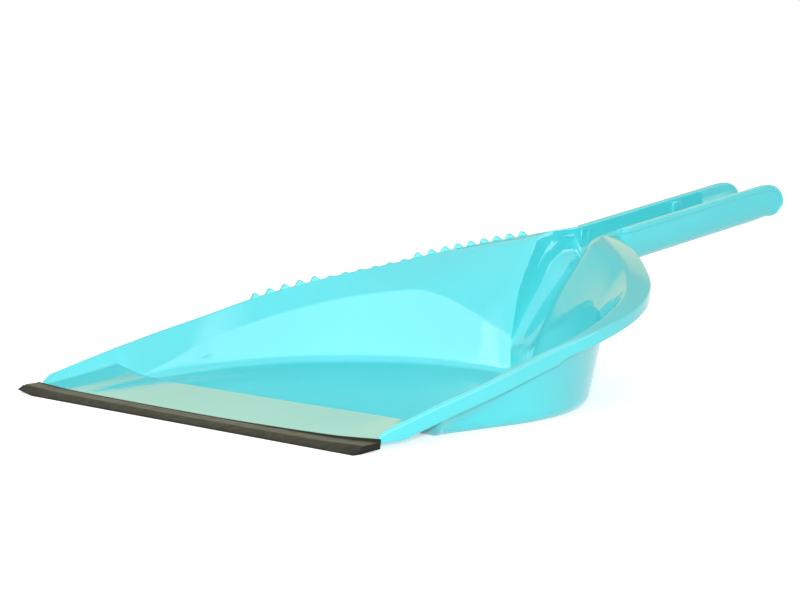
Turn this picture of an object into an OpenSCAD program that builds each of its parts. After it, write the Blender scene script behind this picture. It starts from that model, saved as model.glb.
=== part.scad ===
// Dustpan: a one-piece moulded scoop with an open channel handle, and a rubber lip on its front edge.
// +Z is up, +Y runs from the lip to the handle, and the origin is under the middle of the whole.

/* [Scoop] */
// Width of the scoop across its rim at the front
scoop_w = 220; // [200:2:240]
// Wall thickness of the moulding
wall = 2; // [1.6:0.2:2.4]
// Width of the flat-bottomed box under the rim
box_w = 198; // [190:1:200]
// Distance from the front edge to the middle of the box's rear corner arc
box_y = 92; // [88:1:95]
// Radius of the box's rear corners, outside
box_r = 95; // [93:1:96]
// Distance from the front edge to the middle of the rim's rear corner arc
rim_y = 115; // [113:1:118]
// Radius of the rim's rear corners
rim_r = 111; // [108:1:113]
// Angle that a rear corner of the rim turns through
rim_turn = 50; // [49:0.5:52]
// Depth of the turned-down edge of the rim
skirt_h = 6; // [5:0.5:7]

/* [Ramp] */
// Distance from the front edge to the crest of the ramp
crest_y = 46; // [43:1:49]
// Height of the crest near its ends
crest_z = 6.1; // [5.6:0.1:7]
// Height of the ramp's front edge at its ends
front_z = 1.7; // [1.6:0.1:2]
// How much lower the ramp is in the middle than at its ends
ramp_bow = 0.6; // [0:0.1:0.7]

/* [Handle] */
// Width of the handle over its top edges
handle_w = 30; // [28:0.5:32]
// Distance from the front edge to the tip of the handle
handle_end = 348; // [340:1:356]
// Rise of the handle along its length, in degrees
handle_rise = 9.6; // [9:0.1:10]
// Depth of the handle's channel
channel_h = 16; // [14:0.5:17]

/* [Comb] */
// Distance between the first two teeth
tooth_pitch = 7.4; // [7:0.1:7.4]
// Height of a tall tooth
tooth_h = 1.7; // [1.4:0.1:2.4]
// Height of a low tooth
low_tooth_h = 0.7; // [0.5:0.1:1.2]
// Tall teeth in the front bank
front_teeth = 5; // [3:1:5]
// Low teeth between the banks
low_teeth = 6; // [3:1:6]
// Tall teeth in the rear bank
rear_teeth = 9; // [6:1:9]

/* [Rubber lip] */
// Length of the strip
lip_w = 224; // [206:2:244]
// Depth of the strip from its nose to its back edge
lip_d = 13.4; // [12:0.2:15]
// Height of the strip over the ramp that it covers
lip_cover = 0.45; // [0.4:0.05:0.8]

/* [Hidden] */

rim_w2 = scoop_w / 2;
box_x = box_w / 2 - wall;
// Front edge of the moulding, hidden in the rubber, and nose of the rubber
edge_y = 4.5;
edge_wall = 0.6;
nose_y = -2;
back_y = nose_y + lip_d;
grip_y = back_y + 0.1;
mid_y = (handle_end + nose_y) / 2;
fit = 0.06;

function mix(a, b, t) = a + (b - a) * t;
function ramp(a, b, y) = min(1, max(0, (y - a) / (b - a)));
// Smooth step from 0 at a to 1 at b
function ease(a, b, y) = let (t = ramp(a, b, y)) t * t * (3 - 2 * t);
// 0 well below zero and u well above it, with a round bend of half width w between
function bend(u, w) = u < -w ? 0 : u > w ? u : (u + w) * (u + w) / (4 * w);
// A smooth curve from a to c that leaves and arrives on the lines to b
function curve(a, b, c, t) = mix(mix(a, b, t), mix(b, c, t), t);
function lift(p, z) = [p[0], p[1], z];

// Heights of the rim's outer edge, and of its highest line further in, from which it slopes down
rim_slope = 0.2415;
rim_z0 = 3.44;
ridge_z0 = 4.3;
// The edge flattens a little round the corners, and both climb more steeply behind them
flat_y = 125;
flat_run = 15;
flat_loss = 0.035;
edge_climb_y = 193;
edge_climb_run = 18;
edge_climb = 0.143;
ridge_climb_y = 177;
ridge_climb_run = 8;
ridge_climb = 0.118;
// Both dip a little at the front
dip = 1.3;
dip_y = 50;
function slope_z(y) = rim_slope * y - dip * pow(1 - ramp(grip_y, dip_y, y), 1.5);
function rim_z(y) = rim_z0 + slope_z(y) - flat_loss * bend(y - flat_y, flat_run)
    + edge_climb * bend(y - edge_climb_y, edge_climb_run);
function ridge_z(y) = ridge_z0 + slope_z(y) + ridge_climb * bend(y - ridge_climb_y, ridge_climb_run);

// Stations along half of the outline: front rows at fixed distances, then side, corner and back
FRONT_Y = [edge_y, 8, back_y, back_y + 1, back_y + 2, back_y + 3.1, 22, 33, crest_y - 1, crest_y + 1.5, crest_y + 3.5, crest_y + 7, 62];
SIDE_N = 4;
CORNER_N = 10;
BACK_N = 7;
front_y1 = FRONT_Y[len(FRONT_Y) - 1];
turn = rim_turn;

// A station is [kind, t]: 0 front (t is the distance), 1 side, 2 corner, 3 back
STATIONS = concat([for (y = FRONT_Y) [0, y]], [for (i = [1:SIDE_N]) [1, i / SIDE_N]],
                  [for (i = [1:CORNER_N]) [2, i / CORNER_N]], [for (i = [1:BACK_N]) [3, i / BACK_N]]);

// Angle of a station's outward normal
function normal_a(s) = s[0] < 2 ? 0 : s[0] == 2 ? turn * s[1] : turn;
function out(s) = [cos(normal_a(s)), sin(normal_a(s))];

// A plan outline: straight side at x0 to x1, an arc of radius r that starts at y1, then a curved back to p,
// which leaves the arc straight on for a distance of lead
function arc_end(x1, y1, r) = [x1 - r, y1] + r * [cos(turn), sin(turn)];
function back_curve(x1, y1, r, lead, p, t) = let (a = arc_end(x1, y1, r))
    curve(a, a + lead * [-sin(turn), cos(turn)], p, t);
function outline(s, x0, x1, y1, r, lead, p) =
    s[0] == 0 ? [x0, s[1]] :
    s[0] == 1 ? [mix(x0, x1, ease(0, 1, s[1])), mix(front_y1, y1, s[1])] :
    s[0] == 2 ? [x1 - r, y1] + r * out(s) : back_curve(x1, y1, r, lead, p, s[1]);

// Where the rim meets the narrow neck between scoop and handle
join_y = 235.5;
neck_y = 237.2;
handle_x = handle_w / 2;
neck_x = handle_x - 1.7;
rim_draw = 3.5;
rim_lead = 39;
function rim_out(s) = outline(s, rim_w2, rim_w2 - rim_draw, rim_y, rim_r, rim_lead, [neck_x + 0.3, join_y]);

// Highest line of the rim: close to its edge at the side, and further in round the rear corners
ridge_w = 2.4;
ridge_in = 0.6;
ridge_draw = 5.8;
ridge_y = 98;
ridge_r = 124;
ridge_lead = 25.2;
crease_top = [16.7, 223];
function flange(s) = let (w = s[0] == 0 ? mix(ridge_in, ridge_w, ramp(14, 60, s[1])) : ridge_w)
    outline(s, rim_w2 - w, rim_w2 - ridge_draw, ridge_y, ridge_r, ridge_lead, crease_top);

// Foot of the box wall, inside; its arc runs on round the back to the trough
function box_arc(s, r, a) = [box_x + wall - box_r + r * cos(a), box_y + r * sin(a)];
trough_foot = [5.5, box_y + box_r + 1];
// Beside the ramp it is where the flared panel comes down to the ramp
panel_foot_x = box_x + 6;
flare = 0.77;
step_up = 0.8;
function panel_foot(s) = flange(s)[0] - flare * (ridge_z(s[1]) - floor_z(s[1], panel_foot_x) - step_up);
function foot(s) =
    s[0] == 0 ? [max(box_x, min(panel_foot(s), rim_w2 - wall - 0.6)), s[1]] :
    s[0] == 1 ? [box_x, mix(front_y1, box_y, s[1])] :
    s[0] == 2 ? box_arc(s, box_r - wall, turn * s[1]) :
    mix(box_arc(s, box_r - wall, mix(turn, 86, s[1])), trough_foot, pow(s[1], 3));

// Top of the ramp and of the flat floor behind it; the crest turns up where it meets the walls
side_rise = 2.1;
rise_w = 12;
function floor_z(y, x) = let (up = ramp(edge_y, crest_y - 1, y))
    mix(mix(front_z, crest_z, up) - ramp_bow * (1 - pow(x / rim_w2, 2))
        + side_rise * up * bend(abs(x) - box_x + 9, rise_w / 2) / rise_w, wall, ease(crest_y, crest_y + 7, y));

// The moulding is a plain flat tongue where the rubber grips it
function grown(y) = sin(90 * ramp(grip_y, grip_y + 3, y));
function edge_z(p, z) = mix(floor_z(p[1], p[0]) + 0.1, z, grown(p[1]));
function ridge(s) = let (g = flange(s)) lift(g, edge_z(g, ridge_z(g[1])));

// Height of the shoulder where the steep wall flares out to the rim
shoulder_z0 = 5.5;
shoulder_y = 59;
shoulder_climb = 0.301;
shoulder_top = 152;
shoulder_run = 8;
shoulder_loss = 0.1;
trough_z = 19;
function shoulder_z(s) = let (f = foot(s), y = f[1],
    z = shoulder_z0 + shoulder_climb * (y - shoulder_y) - shoulder_loss * bend(y - shoulder_top, shoulder_run))
    s[0] < 3 ? max(z, floor_z(y, f[0]) + mix(0.05, step_up, grown(y))) : mix(z, trough_z, ease(0.2, 1, s[1]));
function lean(s) = mix(0.08, 0.2, s[0] < 2 ? 0 : s[0] == 2 ? s[1] : 1);
function shoulder(s) = foot(s) + out(s) * (lean(s) * (shoulder_z(s) - wall) + 0.4);

// Reach of the rounding between floor and wall: [inward, upward]
function round_in(s) = s[0] == 0 ? [mix(3, 7, ramp(crest_y, 60, s[1])), 7] :
    s[0] == 1 ? [mix(7, 12, s[1]), 8] :
    s[0] == 2 ? [mix(12, 26, ease(0, 0.7, s[1])), 9] : [mix(26, 6, ease(0, 1, s[1])), mix(9, 6, s[1])];
round_out = 4;

// The floor's middle line stops short of the trough's point
function tail(s) = s[0] == 3 ? 5 * s[1] : 0;

// Floor and rounding, from the middle line out to where the wall turns upright
FLOOR_N = 4;
ROUND_N = 4;
function floor_run(tan, y0, under) = [for (i = [0:FLOOR_N - 1])
    let (u = 1 - pow(1 - i / FLOOR_N, 1.6), p = [tan[0] * u, mix(y0, tan[1], u)])
    lift(p, under ? under_z(p[1], p[0]) : floor_z(p[1], p[0]))];
function round_run(f, h, n, r, zf, zh) = let (up = min(r[1], 0.9 * (zh - zf)))
    [for (i = [0:ROUND_N - 1]) let (a = 90 * i / (ROUND_N - 1), z = zf + up * (1 - cos(a)))
        lift(f - n * (r[0] * (1 - sin(a))) + (h - f) * (z - zf) / (zh - zf), z)];

// Inner profile of a station: floor, rounding, wall, shoulder, flared panel, ridge and rim.
// Behind the corners the panel hollows towards the trough: HOLLOW says how far at each place of PANEL.
PANEL = [0, 0.15, 0.45, 0.62, 0.85, 1];
HOLLOW = [[0, 0, 0], [0, -2, -0.3], [0, -6.5, -0.5], [0.4, -6, 1.6], [1.3, -3.6, 4.2], [0, 0, 0]];
function hollowed(s) = s[0] == 3 ? ease(0, 1, s[1]) : 0;
function inner(s) =
    let (f = foot(s), h = shoulder(s), g = ridge(s), o = rim_out(s), zh = shoulder_z(s),
         zf = floor_z(f[1], f[0]), r = round_in(s), n = out(s))
    concat(floor_run(f - n * r[0], f[1] - n[1] * r[0] - tail(s), false), round_run(f, h, n, r, zf, zh),
        [for (i = [0:len(PANEL) - 1]) mix(lift(h, zh), g, PANEL[i]) + hollowed(s) * HOLLOW[i]],
        [lift(o, edge_z(o, rim_z(o[1])))]);

// Outer profile: as many points, from the middle of the underside out to the foot of the skirt
under_y = crest_y - 3;
function skin(y) = mix(edge_wall, wall, ramp(edge_y, 20, y));
function under_z(y, x) = mix(floor_z(y, x) - skin(y), 0, ease(under_y, crest_y + 7, y));
function skirt(s) = let (y = rim_out(s)[1], h = min(skirt_h - 1.2 * ramp(108, 110, y), rim_z(y) - 2.5))
    mix(edge_wall + 0.1, h, grown(y)) - 2.6 * ease(0.6, 1, s[0] == 3 ? s[1] : 0);
function outer(s) =
    let (n = out(s), f = foot(s) + wall * n, h = shoulder(s) + wall * n, g = ridge(s), o = rim_out(s),
         zh = shoulder_z(s) - skin(f[1]) / 2, zf = under_z(f[1], f[0]), zo = edge_z(o, rim_z(o[1])),
         k = 0.8 * grown(o[1]), crook = lift(mix(o - n * wall, flange(s) + n * wall * 0.4, k), mix(zo, g[2], k) - skin(o[1])))
    concat(floor_run(f - n * round_out, f[1] - n[1] * round_out - tail(s), true),
        round_run(f, h, n, [round_out, round_out], zf, zh),
        [lift(h, zh), mix(lift(h, zh), crook, 0.4) + hollowed(s) * [0, -6.5, -1],
         mix(lift(h, zh), crook, 0.75) + hollowed(s) * [0, -3.2, 0.5], crook,
         lift(o - n * wall * 0.95, zo - skin(o[1])), lift(o - n * wall * 0.9, zo - skirt(s) - 0.02),
         lift(o, zo - skirt(s))]);

// Handle: a channel open at the top, whose two walls round down to meet its floor at the tip
start_y = 240;
top_z = 65.6;
bead_h = 2.4;
bead_out = 0.7;
tip_run = 14.4;
tip_fall = 10;
HANDLE_Y = [0, 0.2, 0.41, 0.62, 0.77, 0.85, 0.9, 0.94, 0.97, 0.985, 1];
function handle_top(y) = top_z + tan(handle_rise) * (y - start_y)
    - tip_fall * (1 - sqrt(1 - pow(max(0, y - handle_end + tip_run - 0.4) / tip_run, 2)));
function handle_low(y) = top_z + tan(handle_rise) * (y - start_y) - channel_h - wall
    + 7 * pow(max(0, y - handle_end + 5) / 5, 2);
// Point of a U-shaped section between its edge e and its lowest point l, a turning from 0 to 90 degrees
function u_point(e, l, a) = let (c = pow(cos(a), 0.55), d = pow(sin(a), 0.8))
    [e[0] * c, mix(e[1], l[1], d), mix(e[2], l[2], d)];

IN_N = FLOOR_N + ROUND_N + len(PANEL) - 1;
OUT_N = FLOOR_N + ROUND_N + 3;
function handle_in(y, edge) = let (x = handle_x - bead_out - wall, z = handle_top(y), low = min(handle_low(y) + wall, z - 0.6))
    concat([for (k = [0:IN_N]) u_point([x, y, z], [0, y, low], 90 * (1 - k / IN_N))], [[edge, y, z]]);
function handle_out(y, edge) = let (x = min(handle_x - bead_out, edge - 0.1), z = handle_top(y) - 0.6 * bead_h,
    low = min(handle_low(y), z - 0.7))
    concat([for (k = [0:OUT_N]) u_point([x, y, z], [0, y, low], 90 * (1 - k / OUT_N))],
        [[x + 0.02, y, z + 0.01], [x + 0.04, y, z + 0.02], [edge, y, z]]);

// Trough: the handle's channel runs down the back wall and narrows to a point at the floor.
// Its rows fan out from the top of the crease, between the crease and the trough's lowest line.
trough_d = 19.9;
trough_start = 15;
FAN = [0.1, 0.25, 0.4, 0.5, 0.64, 0.72, 0.8, 0.88, 0.95, 1];
CREASE_IN = inner([3, 1]);
CREASE_OUT = outer([3, 1]);
NECK_IN = handle_in(neck_y, neck_x);
NECK_OUT = handle_out(neck_y, neck_x);
function along(line, n, q) = let (i = min(n - 1, floor(q * n))) mix(line[i], line[i + 1], q * n - i);
function trough_low(line, n, q) = let (p = along(line, n, q), d = trough_d * pow(ramp(trough_start, line[n][2], p[2]), 0.75))
    [0, p[1] + 0.7 * d, max(line[0][2], p[2] - 0.71 * d)];
function fan(line, n, r, goal) = concat([for (k = [0:n - 1])
    let (j = 1 - k / n, q = 1 - j * (1 - r), e = j * r / (1 - j + j * r))
    u_point(along(line, n, q), trough_low(line, n, q), 90 * e) + (goal[n] - line[n]) * (0.6 * r * pow(q, 3) * (1 - e))],
    [for (k = [n:len(line) - 1]) mix(line[k], goal[k], 0.6 * r)]);

// A row is a closed loop: inside, round the rim, back underneath, and the same mirrored
function mirrored(p) = [for (i = [len(p) - 1:-1:0]) [-p[i][0], p[i][1], p[i][2]]];
function inside(p) = [for (i = [1:len(p) - 1]) p[i]];
function backward(p) = [for (i = [len(p) - 1:-1:0]) p[i]];
function row(a, b) = concat([[0, a[0][1], a[0][2]]], inside(a), backward(inside(b)), [[0, b[0][1], b[0][2]]],
    [for (p = inside(b)) [-p[0], p[1], p[2]]], mirrored(inside(a)));

ROWS = concat([for (s = STATIONS) row(inner(s), outer(s))],
    [for (r = FAN) row(fan(CREASE_IN, IN_N, r, NECK_IN), fan(CREASE_OUT, OUT_N, r, NECK_OUT))],
    [row(mix(fan(CREASE_IN, IN_N, 1, NECK_IN), NECK_IN, 0.5), mix(fan(CREASE_OUT, OUT_N, 1, NECK_OUT), NECK_OUT, 0.5))],
    [for (y = [neck_y, start_y - 0.6]) row(handle_in(y, neck_x), handle_out(y, neck_x))],
    [for (t = HANDLE_Y) let (y = mix(start_y, handle_end, t)) row(handle_in(y, handle_x), handle_out(y, handle_x))]);

HALF_N = IN_N + 2;
LOOP_N = 4 * HALF_N - 2;
function skin_faces(rows) = [for (i = [0:rows - 2]) for (k = [0:LOOP_N - 1]) let (a = i * LOOP_N + k,
    b = i * LOOP_N + (k + 1) % LOOP_N) for (f = [[a, b + LOOP_N, b], [a, a + LOOP_N, b + LOOP_N]]) f];
// An end is closed by strips between the inside and the underside
function end_faces(at, flip) = let (m = 2 * HALF_N - 1, q = [for (k = [0:HALF_N - 2])
    for (f = [[k, k + 1, m - k - 1], [k, m - k - 1, m - k]]) f],
    w = [for (k = [0:HALF_N - 2]) let (a = (LOOP_N - k) % LOOP_N, b = LOOP_N - k - 1)
    for (f = [[a, m + k, m + k + 1], [a, m + k + 1, b]]) f])
    [for (f = concat(q, w)) flip ? [at + f[2], at + f[1], at + f[0]] : [at + f[0], at + f[1], at + f[2]]];

module shell() {
    polyhedron([for (r = ROWS) for (p = r) p],
        concat(skin_faces(len(ROWS)), end_faces(0, false), end_faces((len(ROWS) - 1) * LOOP_N, true)), convexity = 10);
}

// Place and heading of a point on the ridge, at a distance in plan from where its corner begins
ridge_x = rim_w2 - ridge_draw;
ridge_arc = ridge_r * turn * PI / 180;
back_len = norm(crease_top - arc_end(ridge_x, ridge_y, ridge_r));
function ridge_back(t) = back_curve(ridge_x, ridge_y, ridge_r, ridge_lead, crease_top, t);
function ridge_at(d) = let (a = d / ridge_r * 180 / PI, t = (d - ridge_arc) / back_len, v = ridge_back(t + 0.01) - ridge_back(t))
    d < ridge_arc ? [ridge_x - ridge_r + ridge_r * cos(a), ridge_y + ridge_r * sin(a), a] :
    concat(ridge_back(t), [atan2(-v[0], v[1])]);

// Comb: two banks of tall teeth with low ones between, on the left rim only, closer together towards the back
comb_start = 23.6;
pitch_loss = 0.0435;
tooth_long = 6.2;
tooth_deep = 2.6;
tooth_tip = 1.8;
tooth_root = 1.2;
module tooth(h) {
    translate([-0.1, 0, 0]) rotate([90, 0, 90]) linear_extrude(tooth_deep)
        polygon([[-tooth_long / 2, -tooth_root], [tooth_long / 2, -tooth_root], [tooth_long / 2, 0], [tooth_tip / 2, h],
                 [-tooth_tip / 2, h], [-tooth_long / 2, 0]]);
}
module comb() {
    count = front_teeth + low_teeth + rear_teeth;
    for (i = [0:count - 1]) {
        at = ridge_at(comb_start + i * (tooth_pitch - pitch_loss * i));
        low = i >= front_teeth && i < front_teeth + low_teeth;
        mirror([1, 0, 0]) translate([at[0], at[1], ridge_z(at[1])]) rotate([0, 0, at[2]])
            rotate([atan(rim_slope), 0, 0]) tooth(low ? low_tooth_h : tooth_h);
    }
}

// Two pairs of ribs inside the handle, where a brush handle clips in; the front pair have a shallow window
rib_x = handle_x - bead_out - wall;
rib_w = 1.6;
front_rib_y = start_y - 1;
front_rib = [5, 6.5];
front_rib_drop = 1.8;
rear_rib_y = 300;
rear_rib = [6, 7];
rear_rib_drop = 1.6;
window = [2, 3.4];
module rib(y, size, drop) {
    z = handle_top(y) - drop;
    for (side = [-1, 1])
        translate([side * (rib_x - 0.1) - rib_w / 2, y, z - size[1]]) cube([rib_w, size[0], size[1]]);
}
module clip_ribs() {
    difference() {
        rib(front_rib_y, front_rib, front_rib_drop);
        for (side = [-1, 1])
            translate([side * (rib_x - 0.1 - rib_w / 2) - 0.6, front_rib_y + (front_rib[0] - window[0]) / 2,
                       handle_top(front_rib_y) - front_rib_drop - (front_rib[1] + window[1]) / 2])
                cube([1.2, window[0], window[1]]);
    }
    rib(rear_rib_y, rear_rib, rear_rib_drop);
}

module pan_body() {
    color("turquoise") union() {
        shell();
        comb();
        clip_ribs();
    }
}

// Rubber lip: a strip with a slot at the back that grips the front edge; its nose is cut back at the left end
LIP_N = 12;
trim_run = 14;
trim_h = 1;
nose_cut = 2.6;
groove_y = 3.8;
groove_w = 0.5;
flap_y = 7;
function lip_section(x) =
    let (cut = ramp(lip_w / 2 - trim_run, lip_w / 2, -x), trim = trim_h * cut, e = edge_y - fit, b = back_y,
         u = flap_y, g = groove_y, nose = nose_y + nose_cut * cut, top = floor_z(g + groove_w, x) + lip_cover)
    [[nose, trim], [u, 0], [u, under_z(u, x) - fit], [e, under_z(edge_y, x) - fit],
     [e, floor_z(edge_y, x) + fit], [b, floor_z(b, x) + fit], [b, floor_z(b, x) + lip_cover],
     [g + groove_w, top], [g, top - 0.5], [g - groove_w, top - 0.1], [nose, trim + 0.9]];
SECTION_N = 11;
module rubber_lip() {
    xs = [for (i = [-LIP_N:LIP_N]) i * lip_w / 2 / LIP_N];
    last = len(xs) - 1;
    color("dimgray") polyhedron([for (x = xs) for (p = lip_section(x)) [x, p[0], p[1]]],
        concat([[for (k = [0:SECTION_N - 1]) k]],
            [for (i = [0:last - 1]) for (k = [0:SECTION_N - 1]) let (a = i * SECTION_N + k,
                b = i * SECTION_N + (k + 1) % SECTION_N) for (f = [[a, b + SECTION_N, b], [a, a + SECTION_N, b + SECTION_N]]) f],
            [[for (k = [SECTION_N - 1:-1:0]) last * SECTION_N + k]]), convexity = 6);
}

translate([0, -mid_y, 0]) pan_body();
translate([0, -mid_y, 0]) rubber_lip();
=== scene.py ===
import math

import bmesh
import bpy
from mathutils import Matrix, Vector


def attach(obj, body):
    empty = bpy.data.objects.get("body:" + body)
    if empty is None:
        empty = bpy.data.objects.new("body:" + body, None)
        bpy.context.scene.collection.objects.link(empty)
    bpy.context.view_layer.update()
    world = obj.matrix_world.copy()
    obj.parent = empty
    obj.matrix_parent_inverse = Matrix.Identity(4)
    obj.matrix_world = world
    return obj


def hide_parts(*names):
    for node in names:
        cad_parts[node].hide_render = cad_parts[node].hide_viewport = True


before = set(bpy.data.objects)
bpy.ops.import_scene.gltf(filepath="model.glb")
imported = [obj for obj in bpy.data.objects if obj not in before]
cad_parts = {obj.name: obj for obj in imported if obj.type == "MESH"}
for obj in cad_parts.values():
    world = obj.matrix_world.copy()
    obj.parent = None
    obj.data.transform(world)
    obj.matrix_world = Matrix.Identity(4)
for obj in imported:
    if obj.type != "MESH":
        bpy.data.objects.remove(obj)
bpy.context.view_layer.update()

# Sizes are in millimetres, with Y counted from the front edge; MID_Y is the middle of the whole length.
# A name that ends in _Y is a place along the pan, and one that ends in _RUN is the length of a change.
MM = 0.001
MID_Y = 173

# ---------------------------------------------------------------- sizes of the pan
# Walls, which are thin at the front where the rubber grips them
WALL = 2
EDGE_WALL = 0.6
SKIN_Y = 20

# Plan of the rim: its outer edge, and the ridge, which is its highest line. Each has straight sides, a round
# corner that turns by TURN, and a curved back that leaves the corner straight on for a distance of LEAD.
SCOOP_W = 220
RIM_X = SCOOP_W / 2
TURN = 50
SIDE_Y = 62
RIM_DRAW = 3.5
RIM_Y = 115
RIM_R = 111
RIM_LEAD = 39
RIDGE_DRAW = 5.8
RIDGE_Y = 98
RIDGE_R = 124
RIDGE_LEAD = 25.2
CREASE_TOP = Vector((16.7, 223))
RIM_W = 2.4
RIM_W_FRONT = 0.6
WIDEN_Y = 14
WIDE_Y = 60

# Heights of the rim and the ridge: one slope, with a dip at the front and a climb to the handle. Behind
# FLAT_Y the rim's own slope is a little gentler.
RIM_Z = 3.44
RIDGE_Z = 4.3
SLOPE = 0.2415
DIP = 1.3
DIP_Y = 50
DIP_CURVE = 1.5
FLAT_Y = 125
FLAT_RUN = 15
FLAT_LOSS = 0.035
EDGE_CLIMB_Y = 193
EDGE_CLIMB_RUN = 18
EDGE_CLIMB = 0.143
RIDGE_CLIMB_Y = 177
RIDGE_CLIMB_RUN = 8
RIDGE_CLIMB = 0.118

# Skirt that hangs from the rim's outer edge
SKIRT_H = 6
SKIRT_STEP = 1.2
SKIRT_STEP_Y = 108
SKIRT_STEP_RUN = 2
SKIRT_CLEAR = 2.5
SKIRT_LOSS = 2.6
SKIRT_LOSS_FROM = 0.6

# Plan of the box below the flared panel
BOX_X = 97
BOX_Y = 92
BOX_R = 95
BOX_TURN = 86
BOX_BACK = Vector((5.5, 188))
FLARE = 0.77
PANEL_FOOT_X = 103
PANEL_FOOT_GAP = 0.6
STEP_UP = 0.8

# Front edge, ramp and the step down behind its crest
EDGE_Y = 4.5
GRIP_Y = 11.4
GRIP_RUN = 3
THIN = 0.1
FRONT_Z = 1.7
CREST_Y = 46
CREST_Z = 6.1
CREST_FLAT = 1
CREST_RUN = 7
CREST_UNDER = 3
RAMP_CURVE = 1.25
BOW = 0.6
SIDE_RISE = 2.1
SIDE_RISE_X = 88
SIDE_RISE_RUN = 6

# Shoulder between the upright wall and the flared panel
SHOULDER_Y = 59
SHOULDER_Z = 5.5
SHOULDER_CLIMB = 0.301
SHOULDER_TOP = 152
SHOULDER_RUN = 8
SHOULDER_LOSS = 0.1
SHOULDER_OUT = 0.4
LEAN = 0.2
LEAN_FRONT = 0.1
LEAN_Y = 38
LEAN_RUN = 14
BACK_RISE = 0.2

# Rounding between floor and wall, as its reach over the floor and its height up the wall
ROUND_RAMP = 3
ROUND_RAMP_Y = 60
ROUND_FRONT = (7, 7)
ROUND_SIDE = (18, 5.5)
ROUND_REAR = (36, 5.5)
ROUND_REAR_SPAN = (-0.2, 0.7)
ROUND_TROUGH = (6, 5)
ROUND_OUT = 4
ROUND_OUT_BACK = 5
ROUND_SHARE = 0.9
HOOK = 0.55
TAIL = 5

# Hollow of the panel behind the corners, low and high on its inside, and on its outside, and the shares of
# its height where these lie
HOLLOW_LOW = Vector((0, -7.4, -1))
HOLLOW_HIGH = Vector((1.4, -3.7, 4.5))
HOLLOW_OUT = Vector((0, -6.5, -1))
LOW_AT = 0.45
HIGH_AT = 0.85
OUT_AT = 0.4

# Roundings of the shoulder, inside and outside, of the rim's outer edge and of the ridge. A pair is the size
# at the front and the size behind it, and a span is where it grows.
SHOULDER_SOFT = (0.3, 1.1)
SHOULDER_SOFT_OUT = (0.2, 4)
SOFT_SPAN = (30, 80)
EDGE_SOFT = (0.1, 0.6)
RIDGE_SOFT = 1.6
RIDGE_SPAN = (15, 60)

# Share of the way from the rim's outer edge to the ridge at which the underside has its crook
CROOK_AT = 0.8

# Handle and trough
JOIN_Y = 235.5
NECK_X = 13.3
NECK_Y = 237.2
HANDLE_X = 15
START_Y = 240
END_Y = 348
TOP_Z = 65.6
RISE = math.tan(math.radians(9.6))
CHANNEL_H = 16
BEAD_H = 2.4
BEAD_OUT = 0.7
TIP_RUN = 14.4
TIP_FALL = 10
TIP_SLANT = 4
TIP_SLANT_RUN = 12
TIP_SLANT_H = 8
TIP_SLANT_CURVE = 1.5
U_WALL = 0.55
U_FLOOR = 0.8
TROUGH_Z = 19
TROUGH_D = 19.9
TROUGH_FOOT = 15
TROUGH_CURVE = 0.75
TROUGH_BACK = 0.7
TROUGH_DOWN = 0.71
NECK_SHARE = 0.6
CREASE_SOFT = 4
CREASE_FADE = 5

# Rubber lip: its width, its back edge and groove on top, and where its flap ends below
LIP_W = 224
BACK_Y = 11.4
GROOVE_Y = 3.8
FLAP_Y = 7


def mix(a, b, t):
    """a where t is 0, b where t is 1."""
    return a + (b - a) * t


def ramp(a, b, y):
    """0 before a, 1 after b, and even in between."""
    return min(1, max(0, (y - a) / (b - a)))


def ease(a, b, y):
    """0 before a, 1 after b, with a soft start and end."""
    t = ramp(a, b, y)
    return t * t * (3 - 2 * t)


def bend(u, w):
    """0 well below zero and u well above it, with a round bend of half width w between."""
    return 0 if u < -w else u if u > w else (u + w) ** 2 / (4 * w)


def lift(p, z):
    """A point of the plan at a height."""
    return Vector((p[0], p[1], z))


def flat(x, y):
    """A point of the plan, or of a section."""
    return Vector((x, y))


def turned(degrees):
    """A direction in plan, turned from the right towards the back."""
    a = math.radians(degrees)
    return flat(math.cos(a), math.sin(a))


# ---------------------------------------------------------------- plan of the pan
# A station is (part, t): part 0 front (t is the distance), 1 side, 2 rear corner, 3 back
def out(s):
    """The direction away from the middle of the pan at a station."""
    return turned(0 if s[0] < 2 else TURN * s[1] if s[0] == 2 else TURN)


def curve(a, b, c, t):
    """A smooth curve from a to c that leaves and arrives on the lines to b."""
    return a.lerp(b, t).lerp(b.lerp(c, t), t)


def outline(s, x0, x1, y1, r, lead, end):
    """A straight side from x0 to x1, a round corner of radius r from y1 on, then a curved back to end.

    The back leaves the corner straight on for a distance of lead.
    """
    if s[0] == 0:
        return flat(x0, s[1])
    if s[0] == 1:
        return flat(mix(x0, x1, ease(0, 1, s[1])), mix(SIDE_Y, y1, s[1]))
    if s[0] == 2:
        return flat(x1 - r, y1) + r * out(s)
    corner = flat(x1 - r, y1) + r * turned(TURN)
    return curve(corner, corner + lead * turned(TURN + 90), end, s[1])


def slope_z(y):
    """The slope that rim and ridge share, with its dip at the front."""
    return SLOPE * y - DIP * (1 - ramp(GRIP_Y, DIP_Y, y)) ** DIP_CURVE


def rim_z(y):
    """Height of the rim's outer edge."""
    flat_part = FLAT_LOSS * bend(y - FLAT_Y, FLAT_RUN)
    return RIM_Z + slope_z(y) - flat_part + EDGE_CLIMB * bend(y - EDGE_CLIMB_Y, EDGE_CLIMB_RUN)


def ridge_z(y):
    """Height of the rim's highest line: from it the rim slopes down to its outer edge."""
    return RIDGE_Z + slope_z(y) + RIDGE_CLIMB * bend(y - RIDGE_CLIMB_Y, RIDGE_CLIMB_RUN)


def rim_out(s):
    """The rim's outer edge in plan."""
    return outline(s, RIM_X, RIM_X - RIM_DRAW, RIM_Y, RIM_R, RIM_LEAD, flat(NECK_X + 0.3, JOIN_Y))


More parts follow.
